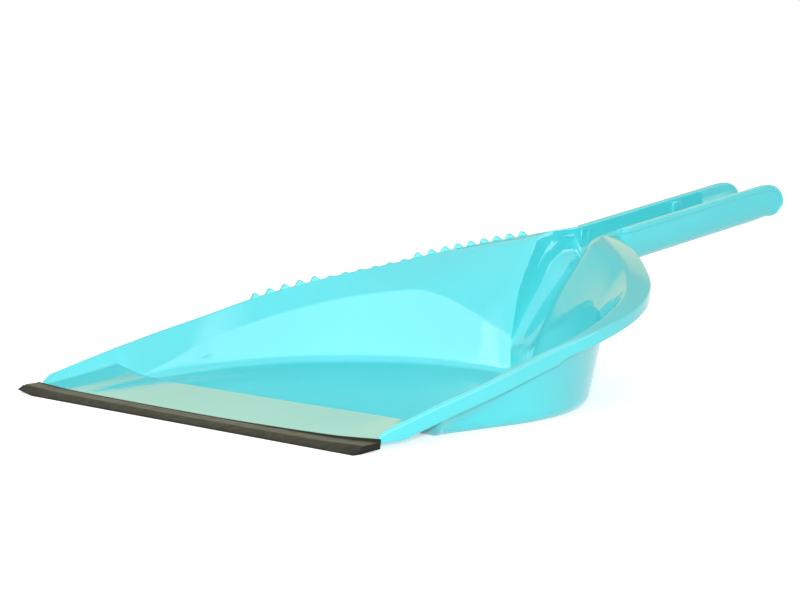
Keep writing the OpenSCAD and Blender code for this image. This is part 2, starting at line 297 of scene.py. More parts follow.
def flange(s):
    """The ridge in plan, where the flared panel meets the flat rim."""
    w = mix(RIM_W_FRONT, RIM_W, ramp(WIDEN_Y, WIDE_Y, s[1])) if s[0] == 0 else RIM_W
    return outline(s, RIM_X - w, RIM_X - RIDGE_DRAW, RIDGE_Y, RIDGE_R, RIDGE_LEAD, CREASE_TOP)


def ridge(s):
    """The ridge with its height; at the very front it sinks to the floor."""
    g = flange(s)
    return lift(g, mix(floor_z(g[1], g[0]) + THIN, ridge_z(g[1]), grown(g[1])))


def box_arc(r, degrees):
    """A point on the round back of the box."""
    return flat(BOX_X + WALL - BOX_R, BOX_Y) + r * turned(degrees)


def foot(s):
    """Where the floor ends; beside the ramp that is where the flared panel comes down to it."""
    if s[0] == 0:
        rise = ridge_z(s[1]) - floor_z(s[1], PANEL_FOOT_X) - STEP_UP
        return flat(max(BOX_X, min(RIM_X - WALL - PANEL_FOOT_GAP, flange(s)[0] - FLARE * rise)), s[1])
    if s[0] == 1:
        return flat(BOX_X, mix(SIDE_Y, BOX_Y, s[1]))
    if s[0] == 2:
        return box_arc(BOX_R - WALL, TURN * s[1])
    return box_arc(BOX_R - WALL, mix(TURN, BOX_TURN, s[1])).lerp(BOX_BACK, s[1] ** 3)


# ---------------------------------------------------------------- heights of the pan
def floor_z(y, x):
    """Top of the ramp and of the flat floor behind it; the ramp is lower in the middle than at its ends."""
    up = ramp(EDGE_Y, CREST_Y - CREST_FLAT, y)
    ramp_z = mix(FRONT_Z, CREST_Z, up ** RAMP_CURVE) - BOW * (1 - (x / RIM_X) ** 2)
    ramp_z += SIDE_RISE * up * bend(abs(x) - SIDE_RISE_X, SIDE_RISE_RUN) / (2 * SIDE_RISE_RUN)
    return mix(ramp_z, WALL, ease(CREST_Y, CREST_Y + CREST_RUN, y))


def grown(y):
    """How far the rim has grown up from the flat front edge: 0 at the lip, and 1 a little behind it."""
    return math.sin(math.radians(90) * ramp(GRIP_Y, GRIP_Y + GRIP_RUN, y))


def shoulder_z(s):
    """Height of the shoulder; beside the ramp it is a low step, and behind it runs up into the trough."""
    f = foot(s)
    loss = SHOULDER_LOSS * bend(f[1] - SHOULDER_TOP, SHOULDER_RUN)
    top = SHOULDER_Z + SHOULDER_CLIMB * (f[1] - SHOULDER_Y) - loss
    if s[0] < 3:
        return max(top, floor_z(f[1], f[0]) + mix(THIN / 2, STEP_UP, grown(f[1])))
    return mix(top, TROUGH_Z, ease(BACK_RISE, 1, s[1]))


def shoulder(s):
    """The shoulder in plan: the wall leans out by LEAN for its height."""
    lean = mix(LEAN_FRONT, LEAN, ramp(LEAN_Y, LEAN_Y + LEAN_RUN, s[1])) if s[0] == 0 else LEAN
    return foot(s) + out(s) * (lean * (shoulder_z(s) - WALL) + SHOULDER_OUT)


def edge_z(p):
    """Height of the rim's outer edge; at the very front it sinks to the floor."""
    return mix(floor_z(p[1], p[0]) + THIN, rim_z(p[1]), grown(p[1]))


def skin(y):
    """The moulding is thin where the rubber grips it."""
    return mix(EDGE_WALL, WALL, ramp(EDGE_Y, SKIN_Y, y))


def under_z(y, x):
    """The underside: hollow below the ramp, and flat on the table behind it."""
    return mix(floor_z(y, x) - skin(y), 0, ease(CREST_Y - CREST_UNDER, CREST_Y + CREST_RUN, y))


def skirt_drop(s):
    """How far the skirt hangs below the rim's outer edge, which it does less behind a small step."""
    y = rim_out(s)[1]
    step = SKIRT_STEP * ramp(SKIRT_STEP_Y, SKIRT_STEP_Y + SKIRT_STEP_RUN, y)
    full = min(SKIRT_H - step, rim_z(y) - SKIRT_CLEAR)
    loss = SKIRT_LOSS * ease(SKIRT_LOSS_FROM, 1, s[1]) if s[0] == 3 else 0
    return mix(EDGE_WALL + THIN, full, grown(y)) - loss


def round_in(s):
    """Reach and height of the rounding inside."""
    if s[0] == 0:
        return mix(ROUND_RAMP, ROUND_FRONT[0], ramp(CREST_Y, ROUND_RAMP_Y, s[1])), ROUND_FRONT[1]
    if s[0] == 1:
        return mix(ROUND_FRONT[0], ROUND_SIDE[0], s[1]), mix(ROUND_FRONT[1], ROUND_SIDE[1], s[1])
    if s[0] == 2:
        return mix(ROUND_SIDE[0], ROUND_REAR[0], ease(*ROUND_REAR_SPAN, s[1])), ROUND_REAR[1]
    reach = mix(ROUND_REAR[0], ROUND_TROUGH[0], ease(BACK_RISE, 1, s[1]))
    return reach, mix(ROUND_REAR[1], ROUND_TROUGH[1], s[1])


def round_under(s):
    """Reach and height of the rounding outside, which are the same."""
    r = ROUND_OUT if s[0] < 2 else mix(ROUND_OUT, ROUND_OUT_BACK, s[1]) if s[0] == 2 else ROUND_OUT_BACK
    return r, r


# ---------------------------------------------------------------- cross sections
# Steps of a section: along the floor, round the foot of the wall and up the wall. The shoulder, the panel,
# the ridge and the crook below the ridge each have steps round a corner, and straight steps after it.
FLOOR_N = 8
ROUND_N = 9
WALL_N = 4
SHOULDER_N = (6, 3)
PANEL_N = (4, 3)
RIDGE_N = (4, 3)
CROOK_N = (2, 2)
CORNER_SHARE = 0.45


def path(corners):
    """Points along a path with rounded corners, each (point, setback, arc steps, straight steps)."""
    made = []
    ends = []
    for i, (p, back, steps, _) in enumerate(corners):
        if i == 0 or i == len(corners) - 1:
            ends.append((p, p))
            continue
        a, b = corners[i - 1][0] - p, corners[i + 1][0] - p
        ends.append(tuple(p + side * min(CORNER_SHARE, back / max(side.length, 1e-6)) for side in (a, b)))
    for i, (p, _, steps, straight) in enumerate(corners):
        first, last = ends[i]
        if 0 < i < len(corners) - 1:
            made += [first.lerp(p, t / steps).lerp(p.lerp(last, t / steps), t / steps) for t in range(steps)]
        if i < len(corners) - 1:
            nxt = ends[i + 1][0]
            made += [last.lerp(nxt, t / straight) for t in range(straight)]
        else:
            made.append(p)
    return made


def floor_and_rounding(s, f, h, zf, zh, reach, under):
    """From the middle of the floor out to where the wall turns upright.

    Underneath, the bend is evenly round; inside, most of it is near the wall.
    """
    n = out(s)
    hook = 1 if under else HOOK
    y0 = f[1] - n[1] * reach[0] - (TAIL * s[1] if s[0] == 3 else 0)
    end = f - n * reach[0]
    level = under_z if under else floor_z
    made = []
    for i in range(FLOOR_N):
        p = flat(end[0] * i / FLOOR_N, mix(y0, end[1], i / FLOOR_N))
        made.append(lift(p, level(p[1], p[0])))
    up = min(reach[1], ROUND_SHARE * (zh - zf))
    for i in range(ROUND_N):
        a = math.radians(90 * i / (ROUND_N - 1))
        z = zf + up * (1 - max(0, math.cos(a)) ** hook)
        level_run = reach[0] * (1 - math.sin(a) ** hook)
        made.append(lift(f - n * level_run + (h - f) * ((z - zf) / (zh - zf)), z))
    return made


def inner(s):
    """Floor, wall, shoulder, flared panel, flat rim and down the outside of the skirt."""
    f, h, o = foot(s), shoulder(s), rim_out(s)
    zh, zf, zo = shoulder_z(s), floor_z(f[1], f[0]), edge_z(o)
    run = floor_and_rounding(s, f, h, zf, zh, round_in(s), False)
    soft = mix(*SHOULDER_SOFT, ramp(*SOFT_SPAN, f[1]))
    fine = mix(*EDGE_SOFT, grown(o[1]))
    low = zo - skirt_drop(s)
    # Behind the corners the panel hollows towards the trough
    w = ease(0, 1, s[1]) if s[0] == 3 else 0
    top, knee = ridge(s), lift(h, zh)
    corners = [(run[-1], 0, 1, WALL_N), (knee, soft, *SHOULDER_N),
               (knee.lerp(top, LOW_AT) + w * HOLLOW_LOW, 7, *PANEL_N),
               (knee.lerp(top, HIGH_AT) + w * HOLLOW_HIGH, 3, *PANEL_N),
               (top, RIDGE_SOFT * ramp(*RIDGE_SPAN, o[1]) + 0.05, *RIDGE_N), (lift(o, zo), fine, 4, 3),
               (lift(o, low), 0.35 * fine, 2, 1), (lift(o - out(s) * (0.45 * WALL), low), 0, 1, 1)]
    return run[:-1] + path(corners)


def outer(s):
    """From the middle of the underside out to the inner foot of the skirt."""
    n, o = out(s), rim_out(s)
    f, h, g = foot(s) + WALL * n, shoulder(s) + WALL * n, flange(s)
    zh, zf, zo = shoulder_z(s) - skin(f[1]) / 2, under_z(f[1], f[0]), edge_z(o)
    run = floor_and_rounding(s, f, h, zf, zh, round_under(s), True)
    inward = CROOK_AT * grown(o[1])
    top = (o - n * WALL).lerp(g + n * WALL * 0.4, inward)
    soft = mix(*SHOULDER_SOFT_OUT, ramp(*SOFT_SPAN, f[1]))
    w = ease(0, 1, s[1]) if s[0] == 3 else 0
    knee, crook = lift(h, zh), lift(top, mix(zo, ridge(s)[2], inward) - skin(o[1]))
    corners = [(run[-1], 0, 1, WALL_N), (knee, soft, *SHOULDER_N),
               (knee.lerp(crook, OUT_AT) + w * HOLLOW_OUT, 6, *PANEL_N), (crook, 0.3, *CROOK_N),
               (lift(o - n * WALL * 0.95, zo - skin(o[1])), 0.2, 2, 2),
               (lift(o - n * WALL * 0.9, zo - skirt_drop(s)), 0, 1, 1)]
    return run[:-1] + path(corners)


# How many steps a section has up to the middle of the ridge, inside, and of the crook, outside
PANEL_FROM = FLOOR_N + ROUND_N - 1 + WALL_N + sum(SHOULDER_N)
IN_N = PANEL_FROM + 2 * sum(PANEL_N) + RIDGE_N[0] // 2
OUT_N = PANEL_FROM + sum(PANEL_N) + CROOK_N[0] // 2


# ---------------------------------------------------------------- handle and trough
def handle_top(y):
    """Top of the channel's walls, which round down at the tip."""
    fall = ramp(END_Y - TIP_RUN, END_Y, y)
    return TOP_Z + RISE * (y - START_Y) - TIP_FALL * (1 - math.sqrt(max(0, 1 - fall * fall)))


def handle_low(y):
    """Underside of the channel."""
    return TOP_Z + RISE * (y - START_Y) - CHANNEL_H - WALL


def u_point(edge, low, degrees):
    """A point of a U-shaped section between its edge and its lowest point."""
    a = math.radians(degrees)
    c, d = max(0, math.cos(a)) ** U_WALL, max(0, math.sin(a)) ** U_FLOOR
    return Vector((edge[0] * c, mix(edge[1], low[1], d), mix(edge[2], low[2], d)))


def u_line(edge, low, n):
    """Half of a U-shaped section, from its lowest point up to its edge."""
    return [u_point(edge, low, 90 * (1 - k / n)) for k in range(n)]


def handle_in(y, x=HANDLE_X):
    """Inside of the channel, and over its edge to the foot of the bead."""
    z = handle_top(y)
    g, o = Vector((HANDLE_X - BEAD_OUT - WALL, y, z)), Vector((x, y, z))
    k = o - Vector((0, 0, BEAD_H))
    rim = path([(g - Vector((0, 0, 2)), 0, 1, 1), (g, 0.5, 4, 3), (o, 0.5, 4, 3), (k, 0.2, 2, 1),
                (k - Vector((0.3, 0, 0)), 0, 1, 1)])[3:]
    return u_line(rim[0], (0, y, min(handle_low(y) + WALL, z - 0.6)), IN_N) + rim


def handle_out(y, x=HANDLE_X):
    """Outside of the channel, up to the foot of the bead."""
    z = handle_top(y) - BEAD_H
    t, o = Vector((min(HANDLE_X - BEAD_OUT, x - 0.1), y, z - 0.3)), Vector((x, y, z))
    rim = path([(t - Vector((0, 0, 2)), 0, 1, 1), (t, 0.2, 2, 2), (t.lerp(o, 0.4), 0.05, 2, 2),
                (t.lerp(o, 0.7), 0, 1, 1)])[2:]
    return u_line(rim[0], (0, y, min(handle_low(y), z - 0.2)), OUT_N) + rim


CREASE_IN = inner((3, 1))
CREASE_OUT = outer((3, 1))


def along(line, n, q):
    """The point at a share q of the first n steps of a row."""
    i = min(n - 1, int(q * n))
    return line[i].lerp(line[i + 1], q * n - i)


def trough_low(line, n, q):
    """The trough's lowest point below a point of the crease, further back and further down."""
    p = along(line, n, q)
    d = TROUGH_D * ramp(TROUGH_FOOT, line[n][2], p[2]) ** TROUGH_CURVE
    return Vector((0, p[1] + TROUGH_BACK * d, max(line[0][2], p[2] - TROUGH_DOWN * d)))


def fan(line, n, r, goal):
    """A row of the trough: r is 0 at the crease and 1 at the top of the trough."""
    made = []
    for k in range(n):
        j = 1 - k / n
        q = 1 - j * (1 - r)
        e = j * r / (1 - j + j * r)
        p = u_point(along(line, n, q), trough_low(line, n, q), 90 * e)
        made.append(p + (goal[n] - line[n]) * (NECK_SHARE * r * q ** 3 * (1 - e)))
    made += [line[k].lerp(goal[k], NECK_SHARE * r) for k in range(n, len(line))]
    return made


# The trough ends at a narrow neck, and the handle's bead begins behind it
NECK_IN = handle_in(NECK_Y, NECK_X)
NECK_OUT = handle_out(NECK_Y, NECK_X)


def blended(a, b, t):
    """A row between two rows."""
    return [p.lerp(q, t) for p, q in zip(a, b)]


def whole_row(a, b):
    """A closed loop of both halves: inside, over the rim and back underneath."""
    half = [Vector((0, a[0][1], a[0][2]))] + a[1:] + b[:0:-1]
    mirrored = [Vector((-p[0], p[1], p[2])) for p in b[1:] + a[:0:-1]]
    return half + [Vector((0, b[0][1], b[0][2]))] + mirrored


def cut_back(row, y):
    """Slants the end of the handle: its underside stops before its walls do."""
    t = ramp(END_Y - TIP_SLANT_RUN, END_Y, y)
    top = handle_top(END_Y)
    for p in row:
        p[1] -= TIP_SLANT * t * ramp(top, top - TIP_SLANT_H, p[2]) ** TIP_SLANT_CURVE
    return row


def softened(halves, crease):
    """Rounds the crease beside the trough by averaging the rows next to it, between the floor and the rim."""
    made = list(halves)
    for i in range(crease - CREASE_SOFT, crease + CREASE_SOFT + 1):
        w = 1 + CREASE_SOFT - abs(i - crease)
        near = halves[i - w:i + w + 1]
        sides = []
        for side, n in ((0, IN_N), (1, OUT_N)):
            line = list(halves[i][side])
            for k in range(FLOOR_N, n):
                share = ramp(FLOOR_N, FLOOR_N + ROUND_N, k) * ramp(n, n - CREASE_FADE, k)
                line[k] = line[k].lerp(sum((row[side][k] for row in near), Vector()) / len(near), share)
            sides.append(line)
        made[i] = tuple(sides)
    return made


# How many rows of points each part of the pan has, and how much closer the trough's are near the crease
FRONT_ROWS = [EDGE_Y, 6, 8.5, 11, 13, 15, 17, 19, 22, 26, 30, 34, 38, 41, 43, 44.2, 45, 46, 47.2, 48.5, 50,
              52, 55, 58, SIDE_Y]
SIDE_ROWS = 14
CORNER_ROWS = 36
BACK_ROWS = 24
TROUGH_ROWS = 24
TROUGH_CLOSER = 1.3
NECK_ROWS = 4
HANDLE_ROWS = 20
TIP_ROWS = 14


def pan_rows():
    """Every row of the pan, from its front edge to the tip of its handle."""
    stations = [(0, y) for y in FRONT_ROWS]
    for part, count in ((1, SIDE_ROWS), (2, CORNER_ROWS), (3, BACK_ROWS)):
        stations += [(part, i / count) for i in range(1, count + 1)]
    halves = [(inner(s), outer(s)) for s in stations]
    crease = len(halves) - 1
    for i in range(1, TROUGH_ROWS + 1):
        r = (i / TROUGH_ROWS) ** TROUGH_CLOSER
        halves.append((fan(CREASE_IN, IN_N, r, NECK_IN), fan(CREASE_OUT, OUT_N, r, NECK_OUT)))
    last = halves[-1]
    for i in range(1, NECK_ROWS):
        t = i / NECK_ROWS
        halves.append((blended(last[0], NECK_IN, t), blended(last[1], NECK_OUT, t)))
    neck = (NECK_Y, NECK_Y + 1, START_Y - 1, START_Y - 0.4)
    halves += [(handle_in(y, NECK_X), handle_out(y, NECK_X)) for y in neck]
    rows = [whole_row(*half) for half in softened(halves, crease)]
    straight = [START_Y + (END_Y - TIP_RUN - START_Y) * i / HANDLE_ROWS for i in range(HANDLE_ROWS + 1)]
    tip = [END_Y - TIP_RUN * (1 - math.sin(math.radians(90 * i / TIP_ROWS))) for i in range(1, TIP_ROWS + 1)]
    rows += [cut_back(whole_row(handle_in(y), handle_out(y)), y) for y in straight + tip]
    return rows


def loft(bm, rows):
    """Skins closed rows of points that have the same count, and closes both ends."""
    count = len(rows[0])
    grid = bmesh.ops.create_grid(bm, x_segments=count, y_segments=len(rows) - 1, size=1)["verts"]
    assert len(grid) == (count + 1) * len(rows)
    for i, v in enumerate(grid):
        v.co = rows[i // (count + 1)][i % (count + 1) % count]
    bmesh.ops.remove_doubles(bm, verts=bm.verts, dist=1e-5)
    rim_edges = [e for e in bm.edges if e.is_boundary]
    bmesh.ops.holes_fill(bm, edges=rim_edges, sides=0)
    bmesh.ops.recalc_face_normals(bm, faces=bm.faces)


def finish_piece(bm, name, material):
    """Moves a bmesh made in working millimetres to its place, and makes the object."""
    bmesh.ops.translate(bm, verts=bm.verts, vec=(0, -MID_Y, 0))
    bmesh.ops.scale(bm, verts=bm.verts, vec=(MM, MM, MM))
    mesh = bpy.data.meshes.new(name)
    bm.to_mesh(mesh)
    bm.free()
    for p in mesh.polygons:
        p.use_smooth = True
    piece = bpy.data.objects.new(name, mesh)
    bpy.context.scene.collection.objects.link(piece)
    mesh.materials.append(material)
    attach(piece, "root")
    return piece


# ---------------------------------------------------------------- materials
def colour(hex_code):
    """A colour written as it shows on a screen."""
    parts = [int(hex_code[i:i + 2], 16) / 255 for i in (0, 2, 4)]
    return [c / 12.92 if c <= 0.04045 else ((c + 0.055) / 1.055) ** 2.4 for c in parts] + [1]


def new_material(name):
    """A material, its nodes and its shader."""
    m = bpy.data.materials.new(name)
    m.use_nodes = True
    tree = m.node_tree
    shader = next(n for n in tree.nodes if n.type == "BSDF_PRINCIPLED")
    return m, tree, shader


def noise(tree, place, scale, detail=2.0, rough=0.5):
    """A value that wanders about one half."""
    n = tree.nodes.new("ShaderNodeTexNoise")
    n.inputs["Scale"].default_value = scale
    n.inputs["Detail"].default_value = detail
    n.inputs["Roughness"].default_value = rough
    tree.links.new(place, n.inputs["Vector"])
    return n.outputs["Fac"]


def remap(tree, value, a, b, lo, hi):
    """lo where the value is a, hi where it is b."""
    n = tree.nodes.new("ShaderNodeMapRange")
    n.inputs["From Min"].default_value = a
    n.inputs["From Max"].default_value = b
    n.inputs["To Min"].default_value = lo
    n.inputs["To Max"].default_value = hi
    tree.links.new(value, n.inputs["Value"])
    return n.outputs["Result"]


def two_tone(tree, factor, first, second):
    """A colour between two."""
    n = tree.nodes.new("ShaderNodeMix")
    n.data_type = "RGBA"
    n.inputs["A"].default_value = first
    n.inputs["B"].default_value = second
    tree.links.new(factor, n.inputs["Factor"])
    return n.outputs["Result"]


def times(tree, a, b):
    """The product of two values."""
    n = tree.nodes.new("ShaderNodeMath")
    n.operation = "MULTIPLY"
    tree.links.new(a, n.inputs[0])
    tree.links.new(b, n.inputs[1])
    return n.outputs[0]


def cyan_plastic():
    """Glossy plastic, with a faint unevenness in its colour and its gloss."""
    m, tree, shader = new_material("cyan_plastic")
    place = tree.nodes.new("ShaderNodeTexCoord").outputs["Object"]
    tone = remap(tree, noise(tree, place, 14, 3), 0.35, 0.65, 0, 1)
    base = two_tone(tree, tone, colour("4ED0D7"), colour("53D4DB"))
    tree.links.new(base, shader.inputs["Base Color"])
    gloss = remap(tree, noise(tree, place, 60, 4, 0.6), 0.3, 0.7, 0.03, 0.06)
    tree.links.new(gloss, shader.inputs["Roughness"])
    shader.inputs["IOR"].default_value = 1.5
    bump = tree.nodes.new("ShaderNodeBump")
    bump.inputs["Strength"].default_value = 0.05
    bump.inputs["Distance"].default_value = 0.0004
    tree.links.new(noise(tree, place, 420, 2), bump.inputs["Height"])
    tree.links.new(bump.outputs["Normal"], shader.inputs["Normal"])
    return m


def grey_rubber():
    """Dark rubber, painted paler on top between the groove and the back edge: a painted sheen in place of the
    room's reflection on the flat top.
    """
    m, tree, shader = new_material("grey_rubber")
    place = tree.nodes.new("ShaderNodeTexCoord").outputs["Object"]
    axes = tree.nodes.new("ShaderNodeSeparateXYZ")
    tree.links.new(place, axes.inputs["Vector"])
    groove, back, end = (GROOVE_Y - MID_Y) * MM, (BACK_Y - MID_Y) * MM, LIP_W / 2 * MM
    behind_groove = remap(tree, axes.outputs["Y"], groove - 0.1 * MM, groove + 0.6 * MM, 0, 1)
    before_back = remap(tree, axes.outputs["Y"], back - 1.5 * MM, back - 1.3 * MM, 1, 0)
    before_end = remap(tree, axes.outputs["X"], end - 0.7 * MM, end - 0.5 * MM, 1, 0)
    # Painted sheen: the top strip between the groove and the back edge gets a paler colour for the room's
    # grazing reflection, stopping short of the strip's ends
    painted_sheen = times(tree, times(tree, behind_groove, before_back), before_end)
    tone = remap(tree, noise(tree, place, 90, 4, 0.6), 0.35, 0.65, 0, 1)
    dark = two_tone(tree, tone, colour("14150D"), colour("1D1E16"))
    sheen_colour = two_tone(tree, tone, colour("4A4B3E"), colour("5A5B4D"))
    paint = tree.nodes.new("ShaderNodeMix")
    paint.data_type = "RGBA"
    tree.links.new(painted_sheen, paint.inputs["Factor"])
    tree.links.new(dark, paint.inputs["A"])
    tree.links.new(sheen_colour, paint.inputs["B"])
    tree.links.new(paint.outputs["Result"], shader.inputs["Base Color"])
    tree.links.new(remap(tree, noise(tree, place, 300, 3), 0.3, 0.7, 0.5, 0.65), shader.inputs["Roughness"])
    shader.inputs["Specular IOR Level"].default_value = 0.15
    bump = tree.nodes.new("ShaderNodeBump")
    bump.inputs["Strength"].default_value = 0.25
    bump.inputs["Distance"].default_value = 0.0003
    tree.links.new(noise(tree, place, 1400, 3), bump.inputs["Height"])
    tree.links.new(bump.outputs["Normal"], shader.inputs["Normal"])
    return m


plastic = cyan_plastic()
rubber = grey_rubber()

# ---------------------------------------------------------------- pan
bm = bmesh.new()
loft(bm, pan_rows())
pan = finish_piece(bm, "pan_moulding", plastic)
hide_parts("pan_body")


# ---------------------------------------------------------------- comb on the left rim
COMB_START = 23.6
FRONT_TEETH, LOW_TEETH, REAR_TEETH = 5, 6, 9
TOOTH_PITCH = 7.4
PITCH_LOSS = 0.0435
TOOTH_H = 1.9
LOW_TOOTH = 0.45
TOOTH_LONG = 6.4
TOOTH_TIP = 1.4
TOOTH_DEEP = 2.6
TOOTH_TAPER = 0.8
TOOTH_ROOT = 1.2
TOOTH_ROUND = 0.5


def ridge_at(d):
    """Place and heading of a point on the ridge, at a distance in plan from where its corner begins."""
    arc = RIDGE_R * math.radians(TURN)
    if d < arc:
        return flange((2, d / arc)), d / RIDGE_R
    reach = (CREASE_TOP - flange((2, 1))).length
    place, ahead = flange((3, (d - arc) / reach)), flange((3, (d - arc) / reach + 0.01))
    return place, math.atan2(place[0] - ahead[0], ahead[1] - place[1])


def tooth(bm, place, heading, tall):
    """A wedge with a rounded top whose foot runs along the ridge and sinks into the rim behind it."""
    made = bmesh.ops.create_cube(bm, size=1)["verts"]
    for v in made:
        top = v.co[2] > 0
        deep, long = (TOOTH_DEEP - TOOTH_TAPER, TOOTH_TIP) if top else (TOOTH_DEEP, TOOTH_LONG)
        v.co = Vector((v.co[0] * deep, v.co[1] * long, tall if top else -TOOTH_ROOT))
    turn = Matrix.Rotation(-heading, 4, "Z") @ Matrix.Rotation(math.atan(SLOPE), 4, "X")
    out_by = Matrix.Translation((0.1 - TOOTH_DEEP / 2, 0, 0))
    to_ridge = Matrix.Translation((-place[0], place[1], ridge_z(place[1])))
    bmesh.ops.transform(bm, verts=made, matrix=to_ridge @ turn @ out_by)


def comb():
    """Two banks of tall teeth with low ones between, closer together towards the back."""
    bm = bmesh.new()
    for i in range(FRONT_TEETH + LOW_TEETH + REAR_TEETH):
        low = FRONT_TEETH <= i < FRONT_TEETH + LOW_TEETH
        tooth(bm, *ridge_at(COMB_START + i * (TOOTH_PITCH - PITCH_LOSS * i)), LOW_TOOTH if low else TOOTH_H)
    bmesh.ops.bevel(bm, geom=list(bm.edges), offset=TOOTH_ROUND, segments=3, profile=0.5, affect="EDGES",
                    material=-1)
    return bm


finish_piece(comb(), "comb_teeth", plastic)


# ---------------------------------------------------------------- ribs in the handle
# Each pair: where it starts, its length, how far below the channel's edge, its height, and if it has a window
RIB_PAIRS = ((239, 5, 1.8, 6.5, True), (300, 6, 1.6, 7, False))
RIB_THICK = 1.6
RIB_ROUND = 0.2
WINDOW_FRAME = 1.2
WINDOW_DEEP = 0.6


def clip_ribs():
    """A pair of ribs with a shallow window at the front of the channel, and a plain pair further back."""
    bm = bmesh.new()
    for y, length, drop, tall, window in RIB_PAIRS:
        for side in (-1, 1):
            z = handle_top(y) - drop - tall / 2
            x = side * (HANDLE_X - BEAD_OUT - WALL - 0.1)
            place = Matrix.Translation((x, y + length / 2, z)) @ Matrix.Diagonal((RIB_THICK, length, tall, 1))
            rib = bmesh.ops.create_cube(bm, size=1, matrix=place)["verts"]
            if window:
                faces = {f for v in rib for f in v.link_faces}
                face = min(faces, key=lambda f: side * f.calc_center_median()[0])
                bmesh.ops.inset_individual(bm, faces=[face], thickness=WINDOW_FRAME)
                bmesh.ops.translate(bm, verts=face.verts, vec=(side * WINDOW_DEEP, 0, 0))
    bmesh.ops.bevel(bm, geom=list(bm.edges), offset=RIB_ROUND, segments=2, profile=0.5, affect="EDGES",
                    material=-1)
    bmesh.ops.recalc_face_normals(bm, faces=bm.faces)
    return bm


finish_piece(clip_ribs(), "clip_ribs", plastic)


# ---------------------------------------------------------------- rubber lip
NOSE_Y = -2
NOSE_CUT = 2.6
NOSE_CUT_RUN = 14
COVER = 0.4
SLIP = 0.06
LIP_THICK = 1.5
FRONT_STEP = 0.35
FLAP_THICK = 0.35
BACK_LIFT = 0.15
END_LIFT = 1.3
SECTION_STEP = 2


def lip_section(x):
    """A closed section of the strip, gripping the front edge in a slot that opens to the back."""
    solid = abs(x) > RIM_X + 0.05
    cut = ramp(LIP_W / 2 - NOSE_CUT_RUN, LIP_W / 2, -x)
    nose, nose_y = cut, NOSE_Y + NOSE_CUT * cut
    lifted = BACK_LIFT + END_LIFT * ramp(0, LIP_W / 2, x) ** 2
    top = floor_z(BACK_Y, x) + COVER
    front = top - FRONT_STEP
    slot_y = BACK_Y - 0.4 if solid else EDGE_Y - SLIP
    under = top - LIP_THICK if solid else under_z(FLAP_Y, x) - SLIP
    flap_y = BACK_Y - 0.3 if solid else FLAP_Y
    # Each corner is (place along the pan, height, setback of its rounding, steps)
    corners = [(nose_y, nose, 0.3, 3), (nose_y + 3.5, nose * 0.5, 1, 2),
               (flap_y, under - FLAP_THICK, 0.1, 2), (flap_y, under, 0.05, 1),
               (slot_y, under_z(EDGE_Y, x) - SLIP, 0.05, 1), (slot_y, floor_z(EDGE_Y, x) + SLIP, 0.05, 1),
               (BACK_Y, floor_z(BACK_Y, x) + SLIP, 0.05, 1), (BACK_Y, top + lifted, 0.25, 3),
               (BACK_Y - 1, top + lifted, 0.25, 3), (BACK_Y - 1.4, top, 0.2, 3),
               (GROOVE_Y + 0.5, front + 0.15, 0.2, 3), (GROOVE_Y, front - 0.5, 0.1, 2),
               (GROOVE_Y - 0.5, front, 0.2, 3), (nose_y + 1, nose + 0.9, 0.8, 3),
               (nose_y, nose + 0.5, 0.2, 2)]
    made = []
    for i, (y, z, back, steps) in enumerate(corners):
        p = flat(y, z)
        before, after = flat(*corners[i - 1][:2]) - p, flat(*corners[(i + 1) % len(corners)][:2]) - p
        a = p + before.normalized() * min(back, before.length * CORNER_SHARE)
        b = p + after.normalized() * min(back, after.length * CORNER_SHARE)
        made += [a.lerp(p, t / steps).lerp(p.lerp(b, t / steps), t / steps) for t in range(steps + 1)]
    return [Vector((x, q[0], q[1])) for q in made]


def lip():
    """The strip, with more sections at its ends, where it reaches past the pan."""
    bm = bmesh.new()
    half = LIP_W / 2
    ends = [RIM_X, RIM_X + 0.1, half - 0.3, half]
    count = int(RIM_X / SECTION_STEP) - 1
    xs = [-x for x in reversed(ends)] + [SECTION_STEP * i for i in range(-count, count + 1)] + ends
    loft(bm, [lip_section(x) for x in xs])
    return bm


strip = finish_piece(lip(), "lip_strip", rubber)
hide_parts("rubber_lip")

# ---------------------------------------------------------------- camera
# From here on, places and sizes in the room are in metres
camera_data = bpy.data.cameras.new("camera")
camera_data.sensor_width = 36
camera_data.lens = 112.5
camera = bpy.data.objects.new("camera", camera_data)
bpy.context.scene.collection.objects.link(camera)
eye = Vector((0.7894, -0.7457, 0.1430))
aim = Vector((-0.0043, -0.0506, 0.0395))
camera.location = eye
camera.rotation_euler = (aim - eye).to_track_quat("-Z", "Y").to_euler()
bpy.context.scene.camera = camera

# ---------------------------------------------------------------- floor, lamps and surroundings
FLOOR_SIZE = 6
FLOOR_GLOW = 0.55

# The room's brightness: overhead, in the broad window in front, and its direction in degrees
CEILING = 2
WINDOW = 4.6
WINDOW_AT = -38

# How the room lights the pan: what share of the strength that shows in its gloss, and how even
DIMMED = 0.31
EVENNESS = 0.75
EVEN_LIGHT = (2.1, 2.1, 2.1, 1)

WHITE = (1, 1, 1)
WARM = (1, 0.93, 0.56)
BEIGE = (1, 0.95, 0.74)

# Slim lamps side by side, for the stripes in the rear corner; angles are in degrees
STRIPS = 5
STRIP_AT = -108.2
STRIP_TURN = 0.9
STRIP_AWAY = 1.5
STRIP_HIGH = 0.6
STRIP_W = 0.006
STRIP_LONG = 0.8
STRIP_WATTS = 0.12

floor_mesh = bpy.data.meshes.new("floor")
bm = bmesh.new()
bmesh.ops.create_grid(bm, x_segments=1, y_segments=1, size=FLOOR_SIZE)
bm.to_mesh(floor_mesh)
bm.free()
floor = bpy.data.objects.new("floor", floor_mesh)
bpy.context.scene.collection.objects.link(floor)


